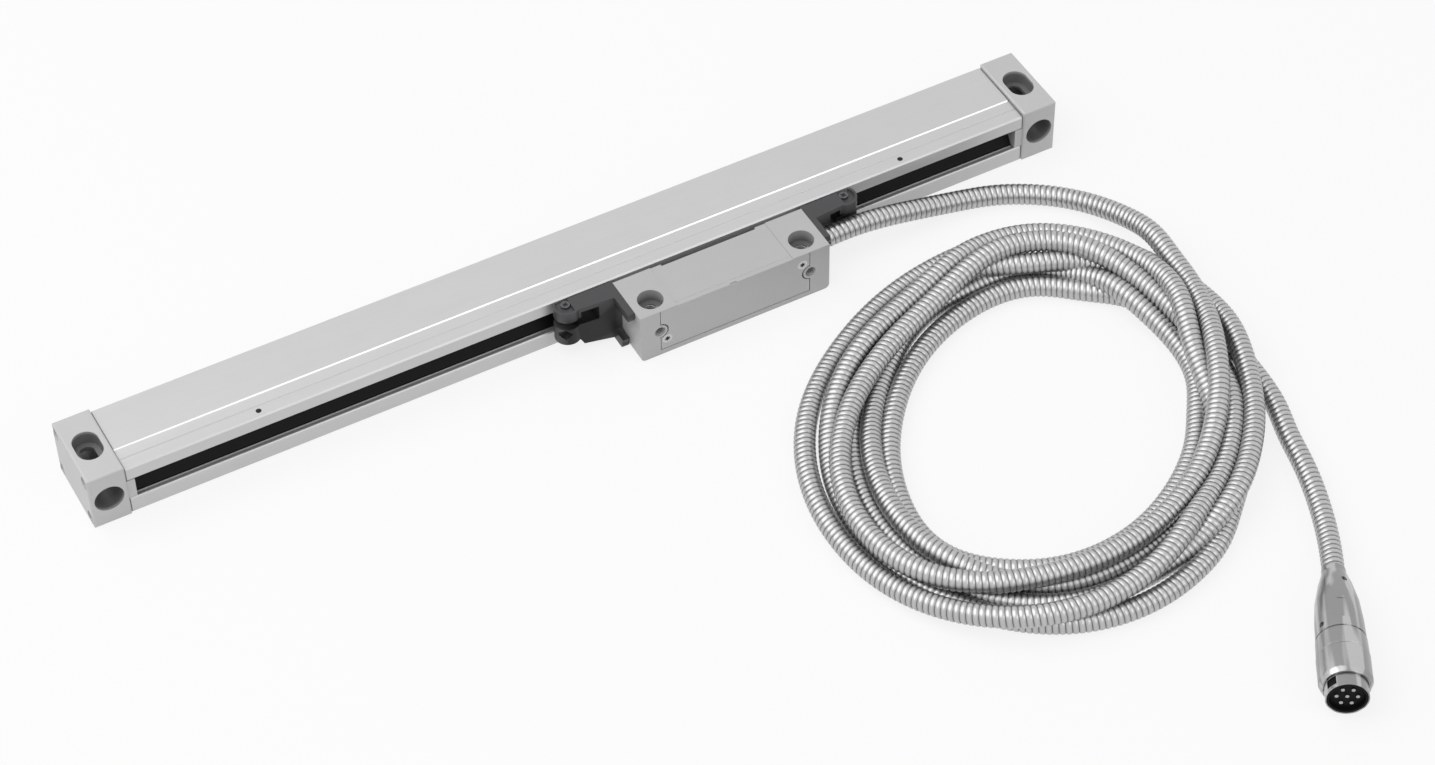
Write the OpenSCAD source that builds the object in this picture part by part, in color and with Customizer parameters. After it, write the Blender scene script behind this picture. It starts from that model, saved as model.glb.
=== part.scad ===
// Sealed linear glass scale: an extruded housing with the glass inside, and a reading head
// that runs along its front on a blade passing between two rubber lips.
// X runs along the scale, Y points from the reading head to the housing, Z is up.

/* [Housing] */
// Length over both end blocks
overall_length = 390; // [360:10:640]
// Height of the extruded profile
profile_height = 22.4; // [22:0.2:24]
// Front-to-back depth of the extruded profile
profile_depth = 31.1; // [31:0.1:34]
// Height of the slot along the front
slot_height = 9.2; // [8.4:0.2:10]
// Height of the slot's middle above the base
slot_z = 11.6; // [11.2:0.1:12]

/* [End blocks] */
// Length of each end block along the scale
block_length = 14.1; // [13.5:0.1:18]
// Front-to-back depth of each end block
block_depth = 32; // [31.6:0.2:36]
// Height of each end block
block_height = 23.8; // [23:0.2:26]
// Diameter of the through hole for the front mounting screw
block_bolt_d = 5.6; // [4.5:0.1:6]
// Diameter of the deep counterbore for that screw's head
block_head_d = 11; // [9:0.5:11.5]

/* [Reading head] */
// Place of the head's middle along the scale, at rest
head_x = 45.7; // [-40:0.1:60]
// Length of the head body
head_length = 77.6; // [76:0.1:82]
// Front-to-back depth of the head body
head_depth = 21.1; // [20.5:0.1:24]
// Height of the head body
head_height = 22; // [21:0.2:23]
// Distance between the head's two upright mounting holes
head_hole_pitch = 61.8; // [60:0.1:63]

/* [Lip guides] */
// Reach of the left guide's arm
left_arm = 17.9; // [15:0.1:20]
// Reach of the right guide's arm
right_arm = 15.4; // [15:0.1:20]

/* [Glass and carriage] */
// Length of the glass scale
glass_length = 340; // [330:5:342]
// Thickness of the glass scale
glass_thickness = 2.8; // [2:0.1:3]
// Outer diameter of the carriage's ball bearings
roller_d = 5; // [4.6:0.1:5.2]
// Width of the carriage's ball bearings
roller_w = 2.5; // [2:0.1:2.6]

/* [Cable and plug] */
// Outer diameter of the steel wound cable
hose_d = 8; // [6:0.5:8]
// Length of the plug, from the cable to its front edge
plug_length = 58.4; // [58:0.1:62]

/* [Hidden] */
$fn = 48;
skin = 0.01;            // overshoot of a cut past a face
slip = 0.05;            // radial play of a screw in its hole

// Places along Y and X that everything else is set against
half_depth = 27.2;      // the head's front and the blocks' back are this far from the origin
block_front_y = half_depth - block_depth;
profile_back_y = half_depth - 0.2;
profile_front_y = profile_back_y - profile_depth;
head_front_y = -half_depth;
head_back_y = head_front_y + head_depth;
head_x0 = head_x - head_length / 2;
head_x1 = head_x + head_length / 2;
gasket_t = 0.4;
block_x = overall_length / 2 - block_length / 2;
profile_half = overall_length / 2 - block_length - gasket_t;
slot_low = slot_z - slot_height / 2;
slot_high = slot_z + slot_height / 2;

// Housing section
front_strip_drop = 0.4; // the front part of the top lies this much lower
strip_edge_y = 6.3;
strip_groove_y = 1.2;
cavity_front_y = 1.9;
cavity_back_y = 23.4;
cavity_low = 3;
cavity_high = 19;
lip_seat_y = [-1.5, 0.1];
lip_seat_depth = 1.8;
tongue_length = 3.1;
lip_half = profile_half + gasket_t - tongue_length - 0.1;
port_y = [-1.7, 24.5];  // screw ports in the four corners
port_z = [3.0, 20.6];
port_r = 1.05;
port_depth = 12;
index_mark_x = 129.3;   // two small marks for the ends of the measuring length

// Glass, carriage and rollers
glass_z = 10.1;
glass_front_y = 13;
glass_groove_z = [10, 14];
glass_groove_y = 25.2;
roller_r = roller_d / 2;
pin_r = 1;
roller_gap = 0.05;
face_roller_x = 36;
face_roller_y = 16.1;
face_roller_z = glass_z + glass_thickness + roller_r + roller_gap;
edge_roller_x = 27;
edge_roller_y = glass_front_y - roller_r - roller_gap;
edge_roller_z = glass_z + 0.2;
web_y = [5.4, 7.6];
optics_y = 17;
lens_low = 13.2;

// Reading head
pad_length = 15.1;
pad_rise = 0.3;
head_hole_y = -20.1;
head_hole_r = 2.6;
head_bore_r = 4.8;
head_bore_depth = 5;
front_hole_r = 2.1;
front_hole_z = 11.8;
cover_t = 2;
head_gasket_t = 0.5;
cover_half = head_hole_pitch / 2 - 0.15;
cover_low = 2.2;
boss_r = 3;
boss_gap_r = 3.5;
cover_screws = [[-28, 6.9], [27.6, 16.8]];
pry_x = -2.2;
chamber_half = 22.8;
chamber_y = -13;
board_y = -19;
board_t = 1.6;
gland_y = -14.6;
gland_z = 11.8;
gland_r = 4.3;
blade_half = 28;
blade_t = 1;
blade_root_t = 4;
guide_screw_out = 1.75;

// Plug, along its own axis from the cable
plug_rear = [163.2, -232.9, 6.6];
plug_heading = 239.2;
plug_tilt = 4;
groove_at = 33.2;
ring_at = 41;
ring_end = 51.4;
ring_r = 9.1;
shell_r = 7.35;
contact_r = 0.65;
contact_hole_r = contact_r + 0.03;

// Cable routes, outside the coil
hose_r = hose_d / 2;
hose_sides = 10;
lead_route = [
    [88, -14.6, 11.8], [101, -14.2, 11.8], [115, -14.5, 10.5], [131, -15.5, 8], [146, -16.6, 5.5],
    [159, -19, 4.4], [171, -24.6, 4], [182, -33.2, 4.3], [190, -45.2, 6], [194.5, -58.5, 8.7],
    [196, -71, 11.6], [195.7, -79.6, 13]
];
tail_route = [
    [194.6, -145.6, 4], [191.4, -158, 4], [187, -171, 4], [184, -185, 4],
    [179.7, -199, 4], [174, -213, 4.4], [168.5, -224, 5.4], plug_rear
];
coil_height = 16;
coil_corners = 64;

// ---- Shared shapes ----

// A rectangle with round corners that keeps true arcs
module rounded_rect(low, high, r) {
    translate([low[0] + r, low[1]]) square([high[0] - low[0] - 2 * r, high[1] - low[1]]);
    translate([low[0], low[1] + r]) square([high[0] - low[0], high[1] - low[1] - 2 * r]);
    for (x = [low[0] + r, high[0] - r], y = [low[1] + r, high[1] - r])
        translate([x, y]) circle(r);
}

// Extrudes a section drawn in (Y, Z) from x0 to x1
module along_x(x0, x1) {
    translate([x0, 0, 0]) rotate([90, 0, 90]) linear_extrude(x1 - x0) children();
}

// Extrudes an outline drawn in (X, Z) from y0 to y1
module along_y(y0, y1) {
    translate([0, y1, 0]) rotate([90, 0, 0]) linear_extrude(y1 - y0) children();
}

// Extrudes a plan drawn in (X, Y) from z0 to z1
module along_z(z0, z1) {
    translate([0, 0, z0]) linear_extrude(z1 - z0) children();
}

module round_bar(r, length) {
    cylinder(r = r, h = length);
}

// Puts a shape drawn at the right-hand end at either end
module at_end(side) {
    if (side > 0) children();
    else mirror([1, 0, 0]) children();
}

// ---- Housing ----

module profile_outline() {
    top = profile_height;
    strip = top - front_strip_drop;
    front = profile_front_y;
    back = profile_back_y;
    polygon([
        [front + 0.5, 0], [front, 0.5], [front, strip - 0.6], [front + 0.6, strip],
        [strip_groove_y - 0.2, strip], [strip_groove_y, strip - 0.3], [strip_groove_y + 0.2, strip],
        [strip_edge_y - front_strip_drop, strip], [strip_edge_y, top],
        [back - 0.4, top], [back, top - 0.4], [back, 0.4], [back - 0.4, 0]
    ]);
}

// The slot, flared where it meets the front, with a small step along its lower ledge
module slot_section() {
    front = profile_front_y;
    polygon([
        [front - skin, slot_low - 0.4], [front + 0.4, slot_low], [-2.9, slot_low],
        [-2.6, slot_low - 0.3], [-2.1, slot_low - 0.3], [-1.8, slot_low],
        [cavity_front_y + skin, slot_low], [cavity_front_y + skin, slot_high],
        [front + 0.3, slot_high], [front - skin, slot_high + 0.3]
    ]);
}

module lip_seat_section() {
    translate([lip_seat_y[0], slot_low - lip_seat_depth])
        square([lip_seat_y[1] - lip_seat_y[0], lip_seat_depth + skin]);
}

module mirror_about_slot() {
    translate([0, 2 * slot_z]) mirror([0, 1]) children();
}

module profile_section() {
    difference() {
        profile_outline();
        rounded_rect([cavity_front_y, cavity_low], [cavity_back_y, cavity_high], 1);
        slot_section();
        lip_seat_section();
        mirror_about_slot() lip_seat_section();
        translate([cavity_back_y - skin, glass_groove_z[0]])
            square([glass_groove_y - cavity_back_y + skin, glass_groove_z[1] - glass_groove_z[0]]);
    }
}

module screw_places() {
    for (y = port_y, z = port_z) translate([0, y, z]) rotate([0, 90, 0]) children();
}

module housing_profile() {
    color("gainsboro") difference() {
        along_x(-profile_half, profile_half) profile_section();
        for (side = [-1, 1]) at_end(side)
            translate([profile_half - port_depth, 0, 0]) screw_places() round_bar(port_r, port_depth + 1);
        for (side = [-1, 1])
            translate([side * index_mark_x, -1.2, profile_height - front_strip_drop - 1.2])
                round_bar(0.5, 2);
    }
}

// ---- End blocks ----

module block_blank() {
    x0 = overall_length / 2 - block_length;
    x1 = overall_length / 2;
    intersection() {
        along_x(x0, x1) rounded_rect([block_front_y, 0], [half_depth, block_height], 0.8);
        along_z(0, block_height) rounded_rect([x0, block_front_y], [x1, half_depth], 0.8);
        along_y(block_front_y, half_depth) rounded_rect([x0, 0], [x1, block_height], 0.8);
    }
}

module long_hole(length, width, z0, z1) {
    along_z(z0, z1) translate([block_x, 0])
        rounded_rect([-width / 2, 11 - length / 2], [width / 2, 11 + length / 2], width / 2 - skin);
}

module end_block(side) {
    inner_x = overall_length / 2 - block_length;
    color("silver") at_end(side) difference() {
        union() {
            block_blank();
            along_x(inner_x - tongue_length, inner_x + 1)
                rounded_rect(
                    [profile_front_y, slot_low + 0.3], [cavity_front_y - 0.4, slot_high - 0.3], 0.3
                );
        }
        long_hole(13.7, 9.6, 18.3, block_height + 1);
        long_hole(9.7, block_bolt_d, -1, 18.4);
        translate([block_x, half_depth + 1, 12]) rotate([90, 0, 0])
            round_bar(block_bolt_d / 2, block_depth + 2);
        translate([block_x, block_front_y + 22, 12]) rotate([90, 0, 0])
            round_bar(block_head_d / 2, 23);
        translate([inner_x - 1, 0, 0]) screw_places() round_bar(port_r + slip, block_length + 2);
        translate([overall_length / 2 - 2.8, 0, 0]) screw_places() round_bar(2.5, 4);
    }
}

module end_gasket(side) {
    inner_x = overall_length / 2 - block_length;
    color("dimgray") at_end(side) along_x(inner_x - gasket_t, inner_x) difference() {
        translate([profile_front_y + 0.3, 0.3]) square([profile_depth - 0.6, profile_height - 0.75]);
        translate([cavity_front_y, cavity_low + 0.5])
            square([cavity_back_y - cavity_front_y - 0.8, cavity_high - cavity_low - 1]);
        translate([profile_front_y - 1, slot_low]) square([8, slot_height]);
        for (y = port_y, z = port_z) translate([y, z]) circle(port_r + slip);
    }
}

module end_block_screws(side) {
    head_at = overall_length / 2 - 2.8;
    tip_at = profile_half - 8;
    color("lightslategray") at_end(side) {
        translate([head_at, 0, 0]) screw_places() difference() {
            round_bar(2.4, 2);
            translate([0, 0, 1]) cylinder(r = 1.2, h = 2, $fn = 6);
        }
        translate([tip_at, 0, 0]) screw_places() round_bar(1, head_at - tip_at + skin);
    }
}

// ---- Lips ----

module lip_section() {
    root = slot_low - lip_seat_depth;
    polygon([
        [lip_seat_y[0], root], [lip_seat_y[1], root], [lip_seat_y[1], slot_low + 0.2],
        [1.75, slot_z - 0.75], [1.0, slot_z - 0.7], [-1.1, slot_low + 0.9], [lip_seat_y[0], slot_low + 0.5]
    ]);
}

module sealing_lip_lower() {
    color("black") along_x(-lip_half, lip_half) lip_section();
}

module sealing_lip_upper() {
    color("black") along_x(-lip_half, lip_half) mirror_about_slot() lip_section();
}

// ---- Glass ----

module glass_scale() {
    color("lightcyan") along_x(-glass_length / 2, glass_length / 2)
        translate([glass_front_y, glass_z]) square([glass_groove_y - glass_front_y, glass_thickness]);
}

module glass_clamp_strip() {
    top = glass_z + glass_thickness;
    color("dimgray") along_x(-glass_length / 2, glass_length / 2) polygon([
        [cavity_back_y - 1.2, top], [glass_groove_y, top], [glass_groove_y, glass_groove_z[1]],
        [cavity_back_y, glass_groove_z[1]], [cavity_back_y - 1.2, top + 0.5]
    ]);
}

// ---- Reading head ----

module head_outline() {
    difference() {
        union() {
            rounded_rect([head_x0, 0], [head_x1, head_height - 2 * pad_rise], 2);
            translate([head_x0, 4]) square([head_length, head_height - 4 - pad_rise]);
            for (x = [head_x0, head_x1 - pad_length])
                translate([x, 4]) square([pad_length, head_height - 4]);
        }
    }
}

module head_hole_places() {
    for (side = [-1, 1]) translate([head_x + side * head_hole_pitch / 2, 0, 0]) children();
}

module cover_outline(inset, boss) {
    difference() {
        translate([head_x - cover_half + inset, cover_low + inset])
            square([2 * (cover_half - inset), head_height - pad_rise - cover_low - inset]);
        head_hole_places() translate([0, front_hole_z]) circle(boss);
    }
}

// Groove round the chamber's mouth, narrower on all sides by a gap
module gasket_ring(gap) {
    difference() {
        rounded_rect([head_x - 24.3 + gap, 3 + gap], [head_x + 24.3 - gap, 20 - gap], 2);
        rounded_rect([head_x - chamber_half, 4.5], [head_x + chamber_half, 18.5], 1);
    }
}

module head_body() {
    recess_y = head_front_y + cover_t;
    color("darkgray") difference() {
        along_y(head_front_y, head_back_y) head_outline();
        along_y(head_front_y - 1, recess_y) intersection() {
            cover_outline(0, boss_r);
            translate([head_x0, 0]) square([head_length, head_height + 1]);
        }
        along_y(recess_y - skin, chamber_y)
            rounded_rect([head_x - chamber_half, 4.5], [head_x + chamber_half, 18.5], 1);
        along_y(recess_y - skin, recess_y + head_gasket_t) gasket_ring(0);
        translate([head_x - chamber_half - 1, board_y - slip, 4.5])
            cube([2 * chamber_half + 2, board_t + 2 * slip, 14]);
        head_hole_places() translate([0, head_hole_y, -1]) round_bar(head_hole_r, head_height + 2);
        head_hole_places() translate([0, head_hole_y, head_height - head_bore_depth])
            round_bar(head_bore_r, 8);
        head_hole_places() translate([0, head_front_y + 4.2, front_hole_z]) rotate([90, 0, 0])
            round_bar(front_hole_r, 6);
        for (place = cover_screws) translate([head_x + place[0], -22.8, place[1]]) rotate([90, 0, 0])
            round_bar(port_r, 4);
        translate([head_x1 - 4.5, gland_y, gland_z]) rotate([0, 90, 0]) round_bar(gland_r, 6);
        translate([head_x + chamber_half - 1, -13.9, gland_z]) rotate([0, 90, 0]) round_bar(2.5, 16);
        along_z(slot_z - blade_root_t / 2, slot_z + blade_root_t / 2)
            translate([head_x - 25, head_back_y - 3]) square([50, 4]);
        translate([head_x - 19.3, head_back_y - 0.85, head_height - 1.2]) cube([38.6, 2, 2]);
    }
}

module cover_screw_places(y) {
    for (place = cover_screws) translate([head_x + place[0], y, place[1]]) rotate([-90, 0, 0]) children();
}

module head_cover() {
    color("darkgray") difference() {
        along_y(head_front_y, head_front_y + cover_t) cover_outline(0.25, boss_gap_r);
        cover_screw_places(head_front_y) {
            translate([0, 0, -skin]) cylinder(r1 = 2, r2 = 1.1, h = 1);
            translate([0, 0, -1]) round_bar(1.1, 4);
        }
        translate([head_x + pry_x, head_front_y - 1, head_height - pad_rise - 0.6]) cube([2.8, 1.6, 2]);
    }
}

module head_gasket() {
    seat_y = head_front_y + cover_t;
    color("black") along_y(seat_y, seat_y + head_gasket_t) gasket_ring(slip);
}

module head_cover_screws() {
    color("lightslategray") cover_screw_places(head_front_y + 0.05) difference() {
        union() {
            cylinder(r1 = 1.95, r2 = 1, h = 0.95);
            round_bar(1, 4.3);
        }
        for (turn = [45, 135]) rotate([0, 0, turn]) translate([-1.1, -0.2, -skin]) cube([2.2, 0.4, 0.6]);
    }
}

module amplifier_board() {
    color("darkgreen") {
        translate([head_x - chamber_half - 0.9, board_y, 4.6]) cube([2 * chamber_half + 1.8, board_t, 13.8]);
        for (x = [-16, -4, 8]) translate([head_x + x, board_y - 1.4, 8]) cube([7, 1.4, 7]);
    }
}

// ---- Lip guides ----

// Side view of an arm, from the head's end outwards: a hook whose upper limb ends in a lug
module guide_side(arm) {
    nose = arm + 7;
    difference() {
        polygon([[0, 1.2], [arm - 3, 3.6], [arm - 1.5, 6.4], [nose, 6.4], [nose, 21.9], [0, 21.9]]);
        translate([8.8, 14]) square([arm - 11, 6]);
        translate([arm - 3, 14]) square([nose, 3.4]);
    }
}

// Plan of an arm: a straight limb that ends in a round nose
module guide_plan(arm, front) {
    back = -5.1;
    intersection() {
        union() {
            polygon([[0, back], [arm, back], [arm, front + 1.3], [0, front]]);
            translate([arm + 1.6, -7.9]) circle(4.9);
        }
        translate([0, front]) square([arm + 7, back - front]);
    }
}

// End plate against the head: long top tab and foot, scooped between them
module guide_plate() {
    difference() {
        polygon([
            [-5.1, 0.2], [-17.2, 0.2], [-18, 1], [-18, 3], [-23.2, 18.5], [-23.8, 20], [-23.2, 21.9],
            [-5.1, 21.9]
        ]);
        translate([-16.2, 11.6]) circle(6.8);
        translate([-32.2, 4.8]) square([16, 13.6]);
    }
}

module lip_guide(arm, front, plate_t) {
    screw_x = arm + guide_screw_out;
    color([0.36, 0.36, 0.37]) difference() {
        union() {
            along_x(0, plate_t) guide_plate();
            intersection() {
                along_y(-30, 0) guide_side(arm);
                union() {
                    along_z(0, 16) guide_plan(arm, front);
                    along_z(16 - skin, 22) guide_plan(arm, -13.1);
                }
            }
        }
        along_z(20.9, 23) intersection() {
            translate([arm, -20]) square([10, 20]);
            translate([arm + 1.6, -7.9]) circle(4);
        }
        translate([screw_x, -7.3, 5]) round_bar(1.25, 18);
        translate([screw_x, -13, 11.4]) rotate([0, 45, 0]) cube([3.6, 3.4, 3.6]);
    }
}

module guide_screw(arm) {
    color("dimgray") translate([arm + guide_screw_out, -7.3, 0]) difference() {
        union() {
            translate([0, 0, 5.4]) round_bar(1.2, 15.6);
            translate([0, 0, 20.9]) round_bar(1.7, 0.9);
        }
        for (turn = [45, 135]) rotate([0, 0, turn]) translate([-1.2, -0.2, 21.3]) cube([2.4, 0.4, 1]);
    }
}

module lip_guide_left() {
    translate([head_x0, 0, 0]) mirror([1, 0, 0]) lip_guide(left_arm, -13.1, 2.8);
}

module lip_guide_right() {
    translate([head_x1, 0, 0]) lip_guide(right_arm, -9.8, 2.5);
}

module guide_screw_left() {
    translate([head_x0, 0, 0]) mirror([1, 0, 0]) guide_screw(left_arm);
}

module guide_screw_right() {
    translate([head_x1, 0, 0]) guide_screw(right_arm);
}

// ---- Blade and carriage ----

module drive_blade() {
    neck = blade_half - 4;
    color("lightgray") {
        along_z(slot_z - blade_root_t / 2, slot_z + blade_root_t / 2)
            translate([head_x - 25, head_back_y - 3]) square([50, 4]);
        along_z(slot_z - blade_t / 2, slot_z + blade_t / 2) translate([head_x, 0]) polygon([
            [-neck, head_back_y], [neck, head_back_y], [neck, -2.5], [blade_half, 0.5], [neck, 3.4],
            [-neck, 3.4], [-blade_half, 0.5], [-neck, -2.5]
        ]);
    }
}

// Bowed leaf that presses the carriage away from the blade, against the glass
module coupling_spring() {
    leaf_r = 101;
    rise = 2;
    color("slategray") along_z(slot_z - 2, slot_z + 2) translate([head_x, 3.4]) intersection() {
        translate([0, leaf_r]) difference() {
            circle(leaf_r, $fn = 96);
            circle(leaf_r - 0.3, $fn = 96);
        }
        translate([-18.5, 0]) square([37, rise]);
    }
}

module carriage_frame() {
    color("darkslategray") difference() {
        union() {
            along_x(head_x - 44, head_x + 44) translate([web_y[0], 4.4]) square([web_y[1] - web_y[0], 13.8]);
            along_x(head_x - 33, head_x + 33) translate([web_y[1] - skin, 4.4]) square([14, 2.8]);
            along_x(head_x - 20, head_x + 20) translate([web_y[1] - skin, 16]) square([14, 2.2]);
        }
        for (side = [-1, 1]) {
            translate([head_x + side * face_roller_x, web_y[0] - 1, face_roller_z]) rotate([-90, 0, 0])
                round_bar(pin_r, 4);
            translate([head_x + side * edge_roller_x, edge_roller_y, 4]) round_bar(pin_r, 4);
        }
    }
}

// A pin with a shoulder, a journal for the roller and a riveted end, along +Z from its root
module roller_pin(root, shoulder) {
    round_bar(pin_r, root + shoulder + roller_w + 0.6);
    translate([0, 0, root]) round_bar(1.5, shoulder);
    translate([0, 0, root + shoulder + roller_w + 0.2]) round_bar(1.5, 0.4);
}

module roller_pins() {
    color("silver") for (side = [-1, 1]) {
        translate([head_x + side * face_roller_x, web_y[0] + 0.2, face_roller_z]) rotate([-90, 0, 0])
            roller_pin(web_y[1] - web_y[0] - 0.2, face_roller_y - web_y[1] - 0.1);
        translate([head_x + side * edge_roller_x, edge_roller_y, 4.6])
            roller_pin(2.6, edge_roller_z - 7.2 - 0.1);
    }
}

module roller() {
    color("lightgray") difference() {
        round_bar(roller_r, roller_w);
        translate([0, 0, -1]) round_bar(pin_r + 0.03, roller_w + 2);
    }
}

module face_roller(side) {
    translate([head_x + side * face_roller_x, face_roller_y, face_roller_z]) rotate([-90, 0, 0]) roller();
}

module edge_roller(side) {
    translate([head_x + side * edge_roller_x, edge_roller_y, edge_roller_z]) roller();
}

// ---- Scanning optics ----

module light_source_board() {
    color("darkgreen") {
        translate([head_x - 10, optics_y - 4, 15.2]) cube([20, 8, 0.8]);
        translate([head_x, optics_y, 14.6]) round_bar(1.5, 0.7);
    }
}

module condenser_lens() {
    color("aliceblue") translate([head_x, optics_y, lens_low]) difference() {
        round_bar(3, 2);
        translate([0, 0, 1.2]) round_bar(2, 1);
    }
}

module scanning_reticle() {
    color("lightcyan") translate([head_x - 8, optics_y - 3.5, 9]) cube([16, 7, 0.8]);
}

module photosensor_board() {
    color("darkgreen") {
        translate([head_x - 14, optics_y - 4, 7.2]) cube([28, 8, 1]);
        for (x = [-7, 1]) translate([head_x + x, optics_y - 3, 8.1]) cube([6, 6, 0.9]);
    }
}

// ---- Cable ----

function unit(v) = v / norm(v);
function heading_at(route, i) = unit(route[min(i + 1, len(route) - 1)] - route[max(i - 1, 0)]);
function ring_at_point(route, i) =
    let(along = heading_at(route, i), across = unit(cross(along, [0, 0, 1])), up = cross(across, along))
    [for (k = [0:hose_sides - 1]) let(a = 360 * k / hose_sides)
        route[i] + hose_r * (cos(a) * across + sin(a) * up)];

// One closed tube through the points of a route
module hose(route) {
    last = len(route) - 1;
    n = hose_sides;
    points = [for (i = [0:last]) each ring_at_point(route, i)];
    sides = [for (i = [0:last - 1], k = [0:n - 1]) let(a = i * n + k, b = i * n + (k + 1) % n)
        each [[a, a + n, b], [b, a + n, b + n]]];
    near_cap = [[for (k = [0:n - 1]) k]];
    far_cap = [[for (k = [n - 1:-1:0]) last * n + k]];
    polyhedron(points, concat(sides, near_cap, far_cap));
}

function oval(centre, long_r, short_r, turn) = [for (k = [0:coil_corners - 1])
    let(a = 360 * k / coil_corners, u = long_r * cos(a), v = short_r * sin(a))
    centre + [u * cos(turn) - v * sin(turn), u * sin(turn) + v * cos(turn)]];

module cable_gland() {
    color("silver") translate([head_x1 - 4.5, gland_y, gland_z]) rotate([0, 90, 0]) {
        round_bar(gland_r - slip, 4.5);
        round_bar(3.9, 88 - head_x1 + 4.5);
    }
}

module cable_lead() {
    color("silver") hose(lead_route);
}

module cable_coil() {
    color("silver") linear_extrude(coil_height) difference() {
        polygon(oval([111.8, -123.4], 100.9, 85.1, 44.2));
        polygon(oval([114.1, -125.6], 63.1, 47.5, 42.1));
    }
}

module cable_tail() {
    color("silver") hose(tail_route);
}

// ---- Plug ----

module on_plug_axis(at) {
    translate(plug_rear) rotate([0, 90 - plug_tilt, plug_heading]) translate([0, 0, at]) children();
}

// Places of the two set screws: distance along the axis, turn about it, and radius
set_screws = [[9, 157, 6], [30, 233, 8.4]];

module set_screw_places(inset) {
    for (s = set_screws)
        rotate([0, 0, s[1]]) translate([s[2] + inset, 0, s[0]]) rotate([0, 90, 0]) children();
}

module plug_backshell() {
    color("silver") on_plug_axis(0) difference() {
        rotate_extrude() polygon([
            [0, 0], [3.9, 0], [4.2, 0.5], [4.3, 2.5], [5.9, 8], [7.55, 16], [8.3, 25], [8.5, 31],
            [8.5, groove_at - 0.5], [8.2, groove_at - 0.5], [8.2, groove_at], [6.8, groove_at],
            [6.8, 18], [4.4, 8], [2.8, 4], [0, 4]
        ]);
        set_screw_places(-2.2) round_bar(1.05, 4);
        for (turn = [0, 180]) rotate([0, 0, turn]) translate([7.7, -3.2, 20]) cube([2, 6.4, 9]);
    }
}

module plug_set_screws() {
    color("dimgray") on_plug_axis(0) set_screw_places(-1.9) difference() {
        round_bar(1, 1.7);
        translate([-1.2, -0.2, 1.2]) cube([2.4, 0.4, 1]);
    }
}

module plug_rear_ring() {
    length = ring_at - groove_at - 0.1;
    color("silver") on_plug_axis(groove_at) rotate_extrude()
        polygon([[shell_r, 0], [8.3, 0], [8.7, 0.4], [ring_r - 0.15, length], [shell_r, length]]);
}

module plug_coupling_ring() {
    length = ring_end - ring_at;
    bore = shell_r + 0.05;
    color("silver") on_plug_axis(ring_at) rotate_extrude() polygon([
        [bore, 0], [ring_r - 0.2, 0], [ring_r, 0.3], [ring_r, length], [ring_r - 0.9, length + 2.1],
        [bore, length + 2.1]
    ]);
}

module plug_shell() {
    color("silver") on_plug_axis(groove_at) difference() {
        round_bar(shell_r, plug_length - groove_at);
        translate([0, 0, -1]) round_bar(6.9, plug_length);
        rotate([0, 0, 230]) translate([5, -2, 20.6]) cube([4, 4, 3.4]);
    }
}

// One contact on the axis and six round it
module contact_places() {
    children();
    for (turn = [30:60:330]) rotate([0, 0, turn]) translate([3.5, 0, 0]) children();
}

module plug_insulator() {
    color("black") on_plug_axis(plug_length - 14) difference() {
        round_bar(6.85, 13.9);
        translate([0, 0, 12.4]) round_bar(6.1, 3);
        translate([0, 0, 10.55]) contact_places() round_bar(contact_hole_r, 3);
    }
}

module plug_pins() {
    color("gainsboro") on_plug_axis(plug_length - 3.4) contact_places() round_bar(contact_r, 2.4);
}

housing_profile();
end_block(-1);  // end_block_left
end_block(1);  // end_block_right
end_gasket(-1);  // end_gasket_left
end_gasket(1);  // end_gasket_right
end_block_screws(-1);  // end_block_screws_left
end_block_screws(1);  // end_block_screws_right
sealing_lip_upper();
sealing_lip_lower();
glass_scale();
glass_clamp_strip();
head_body();
head_cover();
head_gasket();
head_cover_screws();
amplifier_board();
lip_guide_left();
lip_guide_right();
guide_screw_left();
guide_screw_right();
drive_blade();
coupling_spring();
carriage_frame();
roller_pins();
face_roller(-1);  // face_roller_left
face_roller(1);  // face_roller_right
edge_roller(-1);  // edge_roller_left
edge_roller(1);  // edge_roller_right
light_source_board();
condenser_lens();
scanning_reticle();
photosensor_board();
cable_gland();
cable_lead();
cable_coil();
cable_tail();
plug_backshell();
plug_rear_ring();
plug_coupling_ring();
plug_shell();
plug_insulator();
plug_pins();
plug_set_screws();
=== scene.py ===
"""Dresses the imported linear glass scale: finishes, wound steel cable, plug and studio."""

import math

import bmesh
import bpy
import numpy as np
from mathutils import Matrix, Vector


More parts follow.
